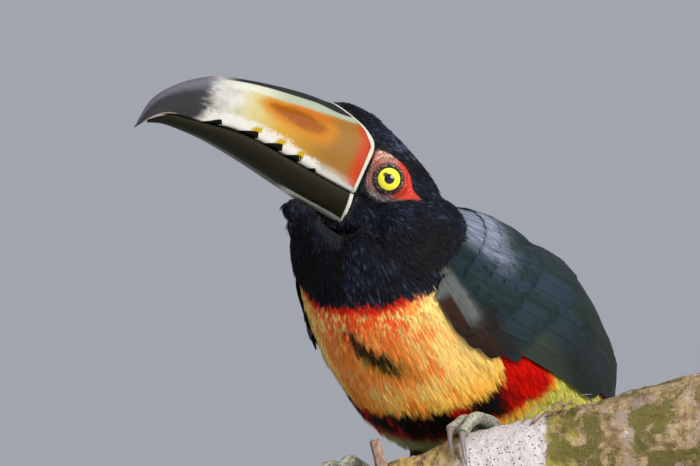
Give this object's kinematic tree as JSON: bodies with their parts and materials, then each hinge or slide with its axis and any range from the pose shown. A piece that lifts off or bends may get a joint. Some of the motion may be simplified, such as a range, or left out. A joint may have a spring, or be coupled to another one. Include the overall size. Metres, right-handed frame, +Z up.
{
  "type": "collared aracari, still display model on a perch",
  "caption": "Life-size still model of a collared aracari gripping a short branch, head turned and bill raised, held on a flat base by rods.",
  "frame": {"origin": "middle of the underside of the stand's base", "axes": "+Z up, the bird's trunk faces -Y and its left side is +X"},
  "size_m": [0.2372, 0.2649, 0.3055],
  "materials": {
    "black_plumage": "soft, with a faint blue sheen",
    "breast_plumage": "soft yellow with orange, red and black markings",
    "mantle_plumage": "smooth slate green with a blue sheen",
    "tail_plumage": "smooth dark green",
    "leg_plumage": "soft chestnut",
    "upper_bill_horn": "satin ivory horn, black tip and ridge",
    "lower_bill_horn": "satin black horn",
    "eye": "wet gloss, yellow iris and black pupil",
    "foot_scales": "matt grey green scales",
    "claw_horn": "satin grey horn",
    "bark": "rough bark with lichen and moss",
    "stand_wood": "dark satin wood",
    "stand_steel": "brushed"
  },
  "bodies": {
    "root": {"head": "black_plumage", "neck": "black_plumage", "trunk": "breast_plumage", "wing_left": "mantle_plumage", "wing_right": "mantle_plumage", "tail": "tail_plumage", "leg_left": "leg_plumage", "leg_right": "leg_plumage", "bill_upper": "upper_bill_horn", "bill_lower": "lower_bill_horn", "eye_left": "eye", "eye_right": "eye", "foot_left": "foot_scales", "foot_right": "foot_scales", "claw_left_1": "claw_horn", "claw_left_2": "claw_horn", "claw_left_3": "claw_horn", "claw_left_4": "claw_horn", "claw_right_1": "claw_horn", "claw_right_2": "claw_horn", "claw_right_3": "claw_horn", "claw_right_4": "claw_horn", "perch": "bark", "stand_base": "stand_wood", "stand_rod_1": "stand_steel", "stand_rod_2": "stand_steel"}
  },
  "joints": []
}
